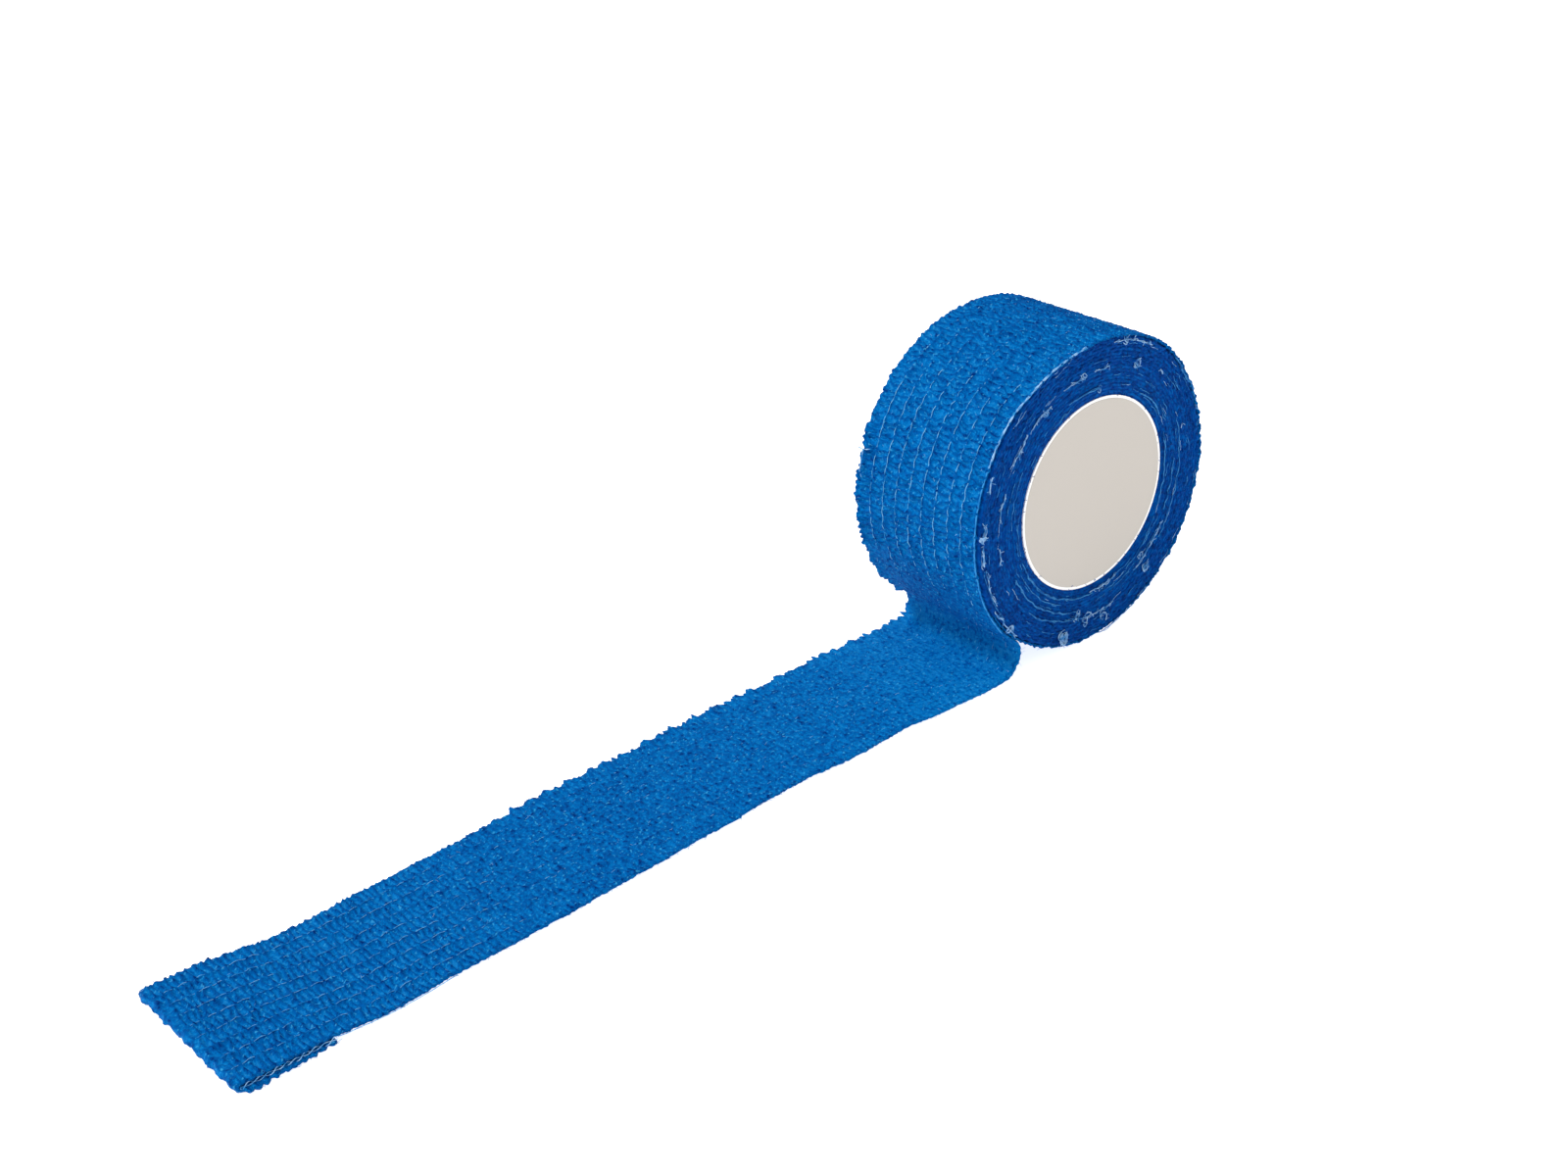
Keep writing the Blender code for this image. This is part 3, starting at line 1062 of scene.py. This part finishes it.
# %% Twist two strands along a line
def twisted(row, radius, pitch, drift_seed):
    """Two strands winding round a line of points in mm."""
    length = distance_along(row)
    ahead = unit(np.gradient(row, axis=0))
    side = unit(np.cross(ahead, [0.0, 0.0, 1.0]) + [1e-6, 0, 0])
    over = np.cross(side, ahead)
    turn = 2 * pi * length / pitch + wander(length, drift_seed, 2.0, 0.7)
    strands = []
    for start in (0.0, pi):
        reach = radius * (1 + 0.4 * np.sin(turn * 0.37 + start))
        sideways = side * (np.cos(turn + start) * reach)[:, None]
        strands.append(row + sideways + over * (np.sin(turn + start) * reach)[:, None])
    return strands


def rim_line(first, last, out, proud):
    """A line along the near rim: this far out from the cloth's middle, and this far proud."""
    s = slice(first, last)
    x, z = off_route(s, half[s] * out)
    return np.stack([x, near_edge[s] - proud, z], 1)


def station_at(angle):
    return int(np.argmin(abs(lap_angle[:edge_station] - angle)))


def lap_points(*rows):
    """Points of the outermost lap: the angle, the place across, and how far out it stands."""
    found = []
    for angle, y, out in rows:
        x, z = off_route(station_at(angle), out)
        found.append((x, y, z))
    return np.array(found)


# %% Lay the edge threads
TWIST_STATION = fold_station - int(13.5 / STATION_STEP)  # two strands from here to the fold
BARE_STATION = fold_station - int(31 / STATION_STEP)  # one strand from here to the twist
snag_rows = [
    lap_points((160.5, 10.9, 0.7), (161, 11.9, 1.1), (161, 12.7, 1.1), (161, 13.4, 0.9)),
    lap_points((161, 12.1, 1.1), (164, 12.0, 1.1), (168, 12.3, 0.9), (171, 12.1, 0.6)),
]
rim_rows = twisted(rim_line(station_at(97), station_at(152), 1.0, 0.05), 0.08, 4.1, 7)
low_rows = [rim_line(station_at(148), station_at(221), 0.95, 0.02)]
end_rows = twisted(rim_line(TWIST_STATION, fold_station + 2, -0.75, 0.32), 0.2, 2.5, 5)
bare_rows = [rim_line(BARE_STATION, TWIST_STATION, -0.3, 0.3)]
EDGE_YARNS = (
    # name, lines, radius, spacing, wander, wander length, seed, finish, sides
    ("snag_thread", snag_rows, 0.09, 0.2, 0.12, 1.0, 11, "bright_thread", 5),
    ("rim_thread", rim_rows, 0.085, 0.25, 0.12, 1.5, 7, "bright_thread", 6),
    ("low_rim_thread", low_rows, 0.10, 0.25, 0.12, 1.5, 10, "rim_blue", 6),
    ("end_thread", end_rows, 0.055, 0.12, 0.06, 0.8, 8, "bright_thread", 5),
    ("bare_thread", bare_rows, 0.055, 0.3, 0.10, 1.2, 9, "bright_thread", 5),
)
snag_thread, rim_thread, low_rim_thread, end_thread, bare_thread = (
    yarn(*row) for row in EDGE_YARNS
)

# %% [markdown]
# ## Loose threads on the near side
#
# The cut ends of the elastic threads and bits of frayed fibre lie over the edges of the turns, in
# arcs that follow the winding, with a few curls and tufts. They are listed by angle and radius.

# %% Arcs and curls
ARCS = (
    # start angle, end angle, start radius, end radius, wobble, thickness, strands, pale (1) or dyed (0)
    (150, 135, 21.6, 21.3, 0.24, 0.075, 3, 1),
    (132, 119, 21.3, 20.8, 0.34, 0.08, 3, 1),
    (110, 97, 20.9, 20.8, 0.30, 0.06, 2, 1),
    (92, 82, 21.1, 20.6, 0.30, 0.06, 2, 1),
    (110, 88, 18.2, 17.8, 0.10, 0.07, 2, 0),
    (270, 200, 17.4, 17.3, 0.12, 0.07, 2, 0),
    (246, 210, 18.4, 18.3, 0.08, 0.05, 1, 0),
    (260, 205, 19.7, 19.5, 0.14, 0.075, 2, 0),
    (263, 226, 21.0, 21.1, 0.16, 0.065, 2, 0),
    (15, -25, 16.8, 16.8, 0.10, 0.06, 1, 0),
    (0, -27, 18.8, 18.9, 0.12, 0.065, 1, 0),
    (55, 30, 17.3, 17.4, 0.28, 0.065, 2, 0),
    (20, -40, 20.3, 20.5, 0.10, 0.05, 1, 0),
    (178, 150, 18.9, 18.8, 0.10, 0.05, 1, 0),
    (196, 172, 17.2, 17.1, 0.08, 0.05, 1, 0),
    (290, 268, 17.0, 17.2, 0.12, 0.07, 2, 1),
    (328, 300, 19.4, 19.8, 0.20, 0.065, 2, 1),
    (322, 296, 17.6, 18.0, 0.20, 0.05, 1, 0),
    (192, 184, 21.3, 21.4, 0.20, 0.06, 1, 1),
    (172, 160, 21.2, 21.3, 0.25, 0.07, 2, 1),
    (82, 60, 24.8, 24.6, 0.14, 0.06, 2, 1),
    (284, 264, 21.6, 21.2, 0.15, 0.06, 2, 1),
    (66, 62, 21.6, 21.0, 0.45, 0.055, 3, 1),
    (48, 46, 22.4, 21.9, 0.20, 0.07, 2, 1),
    (15, 13, 21.2, 20.8, 0.20, 0.06, 1, 1),
    (187, 179, 24.8, 24.8, 0.20, 0.075, 3, 1),
    (178, 171, 24.6, 24.7, 0.35, 0.08, 3, 1),
    (206, 189, 24.6, 24.4, 0.25, 0.06, 2, 1),
    (226, 208, 25.0, 25.1, 0.30, 0.055, 2, 1),
    (160, 154, 24.9, 25.2, 0.20, 0.06, 2, 1),
    (99, 94, 25.9, 25.6, 0.30, 0.06, 3, 1),
    (44, 20, 25.2, 25.3, 0.35, 0.07, 3, 0),
    (-55, -86, 25.0, 25.2, 0.30, 0.06, 3, 0),
    (215, 190, 24.6, 24.8, 0.25, 0.045, 1, 0),
)
CURLS = (
    # angle, radius, loop radius, turns, thickness, all but the angle and turns in mm
    (88, 17.6, 0.5, 0.8, 0.055),
    (64, 21.3, 0.7, 1.3, 0.07),
    (260, 20.6, 0.8, 1.1, 0.055),
    (266, 21.8, 1.1, 0.7, 0.07),
    (276, 22.8, 1.2, 0.6, 0.07),
    (254, 24.0, 0.9, 1.6, 0.10),
    (252, 23.6, 0.6, 1.9, 0.10),
    (306, 21.8, 0.6, 1.5, 0.09),
    (307, 18.6, 0.7, 0.7, 0.06),
    (75, 24.9, 0.6, 0.9, 0.08),
    (176, 24.9, 0.5, 1.6, 0.10),
    (220, 24.8, 0.7, 0.8, 0.07),
    (123, 20.9, 0.5, 1.2, 0.07),
    (98, 20.9, 0.4, 0.9, 0.06),
)
# Bits of fibre that follow the turns, strewn by rule
WISPS = (
    # least and greatest radius, how many, thickness, pale (1) or dyed (0)
    (16.8, 19.8, 60, 0.04, 0),
    (20.2, 21.9, 22, 0.03, 1),
    (22.0, 25.2, 40, 0.035, 0),
    (24.2, 25.3, 16, 0.03, 1),
    (17.0, 19.5, 8, 0.03, 1),
)


def face_y(radius):
    """How far towards -Y the edges of the turns stand at this radius."""
    share = (radius - CORE_RADIUS) / (ROLL_RADIUS - CORE_RADIUS)
    high = fade(share, 0.5, 0.18)
    return NEAR_Y - 0.04 - 0.20 * fade(share, 0, 0.18) - 0.24 * high * high * (3 - 2 * high)


def face_line(angles, radii, lift):
    x, z = settled(radii, angles)
    return np.stack([x, face_y(radii) - lift, z], 1)


# %% Lay the arcs, the curls and the wisps
face_lines = {}


def keep(line_kept, thick, pale):
    face_lines.setdefault((pale, thick), []).append(line_kept)


def hairs(thread, spacing, seed):
    """Short frayed ends that leave a thread at random."""
    draw = np.random.default_rng(seed)
    length = distance_along(thread)
    at = draw.uniform(0, spacing)
    while at < length[-1]:
        root = np.array([np.interp(at, length, thread[:, i]) for i in range(3)])
        way = draw.uniform(0, 2 * pi)
        reach = draw.uniform(0.25, 0.9)
        bow = draw.uniform(-0.5, 0.5)
        rows = [root + [reach * t * cos(way + bow * t), -0.15 * t, reach * t * sin(way + bow * t)]
                for t in (0.0, 0.35, 0.7, 1.0)]
        keep(np.array(rows), 0.035, 1)
        at += draw.uniform(0.5, 1.5) * spacing


for number, (start, end, radius_a, radius_b, wobble_by, thick, strands, pale) in enumerate(ARCS):
    count = max(8, int(abs(end - start) * 2))
    angles = np.linspace(start, end, count)
    way = np.linspace(0, abs(radians(end - start)) * radius_a, count)
    middle_radii = np.linspace(radius_a, radius_b, count) + wander(way, 100 + number, 1.8, wobble_by)
    for strand in range(strands):
        seed = 1000 + 10 * number + strand
        radii = middle_radii + wander(way, seed, 0.9, 0.23 if strand else 0.05)
        lift = 0.2 + wander(way, seed + 500, 1.1, 0.16)
        first = count // 5 * strand // 2
        last = count - count // 6 * strand // 2
        thread = face_line(angles, radii, lift)[first:last]
        keep(thread, round(thick * (1 - 0.25 * strand), 2), pale)
        if pale and strand == 0:
            hairs(thread, 0.9, seed)
for number, (angle, radius_a, loop, turns, thick) in enumerate(CURLS):
    draw = np.random.default_rng(200 + number)
    for strand in range(2):
        around = np.linspace(0, turns * 2 * pi, int(14 * turns) + 5) + draw.uniform(0, 6)
        grow = np.linspace(0.4, 1.3, len(around)) * loop
        radii = radius_a + grow * np.sin(around) + draw.uniform(-0.2, 0.2)
        slant = draw.uniform(0.5, 1.0)
        angles = angle + np.degrees(grow * slant * np.cos(around) / radius_a) + 0.4 * strand
        thread = face_line(angles, radii, 0.2 + 0.15 * np.cos(around * 1.3))
        keep(thread, round(thick * 0.8, 2), 1)
        hairs(thread, 1.2, 300 + number)
draw = np.random.default_rng(77)
for least, greatest, many, thick, pale in WISPS:
    for number in range(many):
        start, radius_a = draw.uniform(0, 360), draw.uniform(least, greatest)
        angles = np.linspace(start, start + np.degrees(draw.uniform(0.6, 3.2) / radius_a), 9)
        way = np.radians(angles - start) * radius_a
        radii = radius_a + wander(way, 4000 + number, 0.8, 0.14)
        lift = 0.14 + wander(way, 4090 + number, 0.9, 0.12)
        keep(face_line(angles, radii, lift), thick, pale)
face_yarns = [
    yarn(f"face_threads_{index + 1}", lines, radius=thick * 1.4, spacing=0.2, wander_by=0.26,
         wander_length=0.8, seed=20 + index, kind="pale_thread" if pale else "face_blue", sides=4)
    for index, ((pale, thick), lines) in enumerate(sorted(face_lines.items()))
]

# %% [markdown]
# ## Fluff
#
# Short fibre ends stand off the cloth and soften its outline. The tree scatters points on the
# outer faces, puts a small bent fibre on each, turned and leaning at random, and sweeps them all.
# It can keep to the faces that look towards the rims, for the ends of the roll and cut edges.

# %% The fluff tree
put = new_tree("fluff", (
    "Fibres a square metre", "Length", "Radius", "Facing the rims",
), counts=("Seed",))
side = parts(named("cloth", "FLOAT_VECTOR"))[2]
shown = step("FunctionNodeCompare", {0: side, 1: -0.3}, operation="GREATER_THAN")
to_rim = {0: abs(parts(geo("InputNormal"))[1]), 1: put["Facing the rims"]}
at_rim = step("FunctionNodeCompare", to_rim, operation="GREATER_EQUAL")
shown = step("FunctionNodeBooleanMath", {0: shown, 1: at_rim}, operation="AND")
scatter = geo("DistributePointsOnFaces", {
    "Mesh": put["Geometry"],
    "Selection": shown,
    "Density": put["Fibres a square metre"],
    "Seed": put["Seed"],
})
fibre = geo("CurveQuadraticBezier", {
    "Resolution": 3,
    "Start": (0, 0, -0.05),
    "Middle": (0.42, 0.1, 0.22),
    "End": (0.85, -0.2, 0.12),
})
twirl = step("FunctionNodeRandomValue", {
    "Min": (-0.5, -0.5, 0.0),
    "Max": (0.5, 0.5, 6.283),
    "Seed": put["Seed"],
}, data_type="FLOAT_VECTOR")
twirl = step("FunctionNodeEulerToRotation", {"Euler": twirl})
turned = step("FunctionNodeRotateRotation", {
    "Rotation": Wire(scatter.socket.node.outputs["Rotation"]),
    "Rotate By": twirl,
}, rotation_space="LOCAL")
grow = step("FunctionNodeRandomValue", {2: 0.45, 3: 1.25, "Seed": put["Seed"]}, out=1)
fibres = geo("InstanceOnPoints", {
    "Points": scatter,
    "Instance": fibre,
    "Rotation": turned,
    "Scale": grow * put["Length"],
})
fibres = geo("RealizeInstances", {"Geometry": fibres})
ring = geo("CurvePrimitiveCircle", {"Resolution": 3, "Radius": put["Radius"]})
fluff_tree = end_tree(above_table(sweep(fibres, ring), TABLE_GAP * MM), put)


def fluff(name, host, density, length, radius, seed, kind, rims):
    return run_tree(new_object(name, host.data.copy()), fluff_tree, {
        "Fibres a square metre": density * FLUFF_SHARE * 1e6,
        "Length": length * MM,
        "Radius": radius * MM,
        "Facing the rims": rims,
        "Seed": seed,
        "Material": finish[kind],
    })


# %% Grow the fluff
FLUFF_SHARE = 1.0
FLUFF = (
    # name, host, fibres a square mm, length, radius, seed, finish, how far it faces the rims
    ("roll_fluff", outer_turn, 0.55, 0.9, 0.022, 1, "blue_fluff", 0.0),
    ("end_fluff", loose_end, 0.45, 0.85, 0.022, 2, "blue_fluff", 0.0),
    ("edge_fluff", loose_end, 5.0, 1.0, 0.025, 6, "blue_fluff", 0.5),
    # The face fluff takes the darkened finish, painted shade for the roll's near side
    ("face_fluff", wound_turns, 3.0, 0.7, 0.045, 5, "shaded_side_fluff", 0.6),
    ("pale_roll_fluff", outer_turn, 0.07, 0.6, 0.03, 3, "pale_thread", 0.0),
    ("pale_end_fluff", loose_end, 0.06, 0.65, 0.03, 4, "pale_thread", 0.0),
)
roll_fluff, end_fluff, edge_fluff, face_fluff, pale_roll_fluff, pale_end_fluff = (
    fluff(*row) for row in FLUFF
)

# %% [markdown]
# ## The core
#
# The tube is white card, cut clean at both ends. Its CAD solid has the right shape, so it only
# needs a finish. The grey disc that closes it is made again, because the solid one leaves a small
# working gap, and the real one has a thin lip that laps over half of the tube's wall.

# %% Finishes of the core
def plain_material(name, colour, roughness, mottle):
    material, shader = new_material(name)
    place = step("ShaderNodeTexCoord", out="Object")
    mottling = noise(place, 260.0, 4.0)
    darker = tuple(channel * (1 - mottle) for channel in colour)
    fill(shader, {
        "Base Color": blend_colours(mottling, darker, colour),
        "Roughness": mottling * 0.12 + roughness,
        "Specular IOR Level": 0.3,
        "Normal": bump(noise(place, 2600.0), 0.12, 0.02),
    })
    return material


core_card = plain_material("core_white_card", (0.97, 0.97, 0.97), 0.55, 0.03)
cap_board = plain_material("cap_pale_grey", (0.554, 0.515, 0.469), 0.6, 0.02)
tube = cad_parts["core_tube"]
tube.data.materials.clear()
tube.data.materials.append(core_card)

# %% Turn the cap
CAP_RADIUS = CORE_RADIUS - 0.42
BORE_RADIUS = CORE_RADIUS - 0.6
CAP_PROFILE = (
    # radius, distance behind the tube's rim, both in mm
    (0.0, -0.02),
    (CAP_RADIUS - 0.5, -0.05),
    (CAP_RADIUS - 0.06, -0.05),
    (CAP_RADIUS, 0.02),
    (BORE_RADIUS, 0.03),
    (BORE_RADIUS, 1.0),
    (0.0, 1.0),
)
CAP_STEPS = 96


def cap_point(out, behind, i):
    turn = 2 * pi * i / CAP_STEPS
    return (CORE_X + out * cos(turn)) * MM, (NEAR_Y + behind) * MM, (ROLL_Z + out * sin(turn)) * MM


def turned_cap(name):
    """The profile turned about the core's axis, closed at both middles."""
    points = [cap_point(*row, i) for row in CAP_PROFILE[1:-1] for i in range(CAP_STEPS)]
    last_ring = len(points) - CAP_STEPS
    front, rear = len(points), len(points) + 1
    points += [cap_point(*CAP_PROFILE[0], 0), cap_point(*CAP_PROFILE[-1], 0)]
    faces = []
    for i in range(CAP_STEPS):
        j = (i + 1) % CAP_STEPS
        for ring_start in range(0, last_ring, CAP_STEPS):
            a, b = ring_start, ring_start + CAP_STEPS
            faces.append((a + i, a + j, b + j, b + i))
        faces += [(front, i, j), (rear, last_ring + j, last_ring + i)]
    mesh = bpy.data.meshes.new(name)
    mesh.from_pydata(points, [], faces)
    mesh.materials.append(cap_board)
    return new_object(name, mesh)


cap_disc = turned_cap("cap_disc")
print(f"cap: {len(cap_disc.data.polygons)} faces")

# %% [markdown]
# ## Floor and light
#
# A plain pale floor, a white sky and two suns. The soft key stands high behind the loose end, so
# the top of the cloth and the left of the roll are lit and the near side of the roll is in soft
# shade. The fill is low, broad and weak, and comes along the loose end.

# %% Floor
FLOOR = 4.0
floor_mesh = bpy.data.meshes.new("floor")
corners = [(-FLOOR, -FLOOR, 0), (FLOOR, -FLOOR, 0), (FLOOR, FLOOR, 0), (-FLOOR, FLOOR, 0)]
floor_mesh.from_pydata(corners, [], [(0, 1, 2, 3)])
floor = new_object("floor", floor_mesh)
paper, shader = new_material("floor_white")
fill(shader, {
    "Base Color": (0.75, 0.75, 0.75, 1),
    "Roughness": 0.9,
    "Specular IOR Level": 0.1,
    "Emission Color": (1, 1, 1, 1),
    "Emission Strength": 0.82,
})
floor_mesh.materials.append(paper)

# %% Light
world = bpy.data.worlds.new("sky")
bpy.context.scene.world = world
world.use_nodes = True
background = world.node_tree.nodes["Background"].inputs
background["Color"].default_value = (1, 1, 1, 1)
background["Strength"].default_value = 0.68


def sun(name, azimuth, elevation, strength, softness):
    """A sun that shines from this azimuth (0 is from -Y, 90 from +X) and elevation."""
    light = bpy.data.lights.new(name, "SUN")
    light.energy = strength
    light.angle = radians(softness)
    obj = new_object(name, light)
    obj.rotation_mode = "QUATERNION"
    source = towards(radians(azimuth), radians(elevation))
    obj.rotation_quaternion = source.to_track_quat("Z", "Y")


sun("key", -125, 60, 1.84, 14)
sun("fill", -100, 15, 0.14, 40)
bpy.context.scene.view_settings.view_transform = "Standard"

# %% [markdown]
# ## The body that the pieces ride on
#
# Every piece rides on the one body. The strip is cloth of a known size, and its three stretches are
# listed with the threads and the fluff that go with each.

# %% Tell the frame about the pieces
PARTS = {
    "cloth": [
        wound_turns, outer_turn, loose_end, roll_elastic, end_elastic,
        rim_thread, low_rim_thread, snag_thread, end_thread, bare_thread,
        roll_fluff, end_fluff, edge_fluff, face_fluff, pale_roll_fluff, pale_end_fluff,
        *face_yarns,
    ],
    "core_grey": [cap_disc],
}
for slot_name, pieces in PARTS.items():
    for piece in pieces:
        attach(piece, "root")
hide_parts("wound_roll")
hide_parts("loose_end")
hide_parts("core_cap")
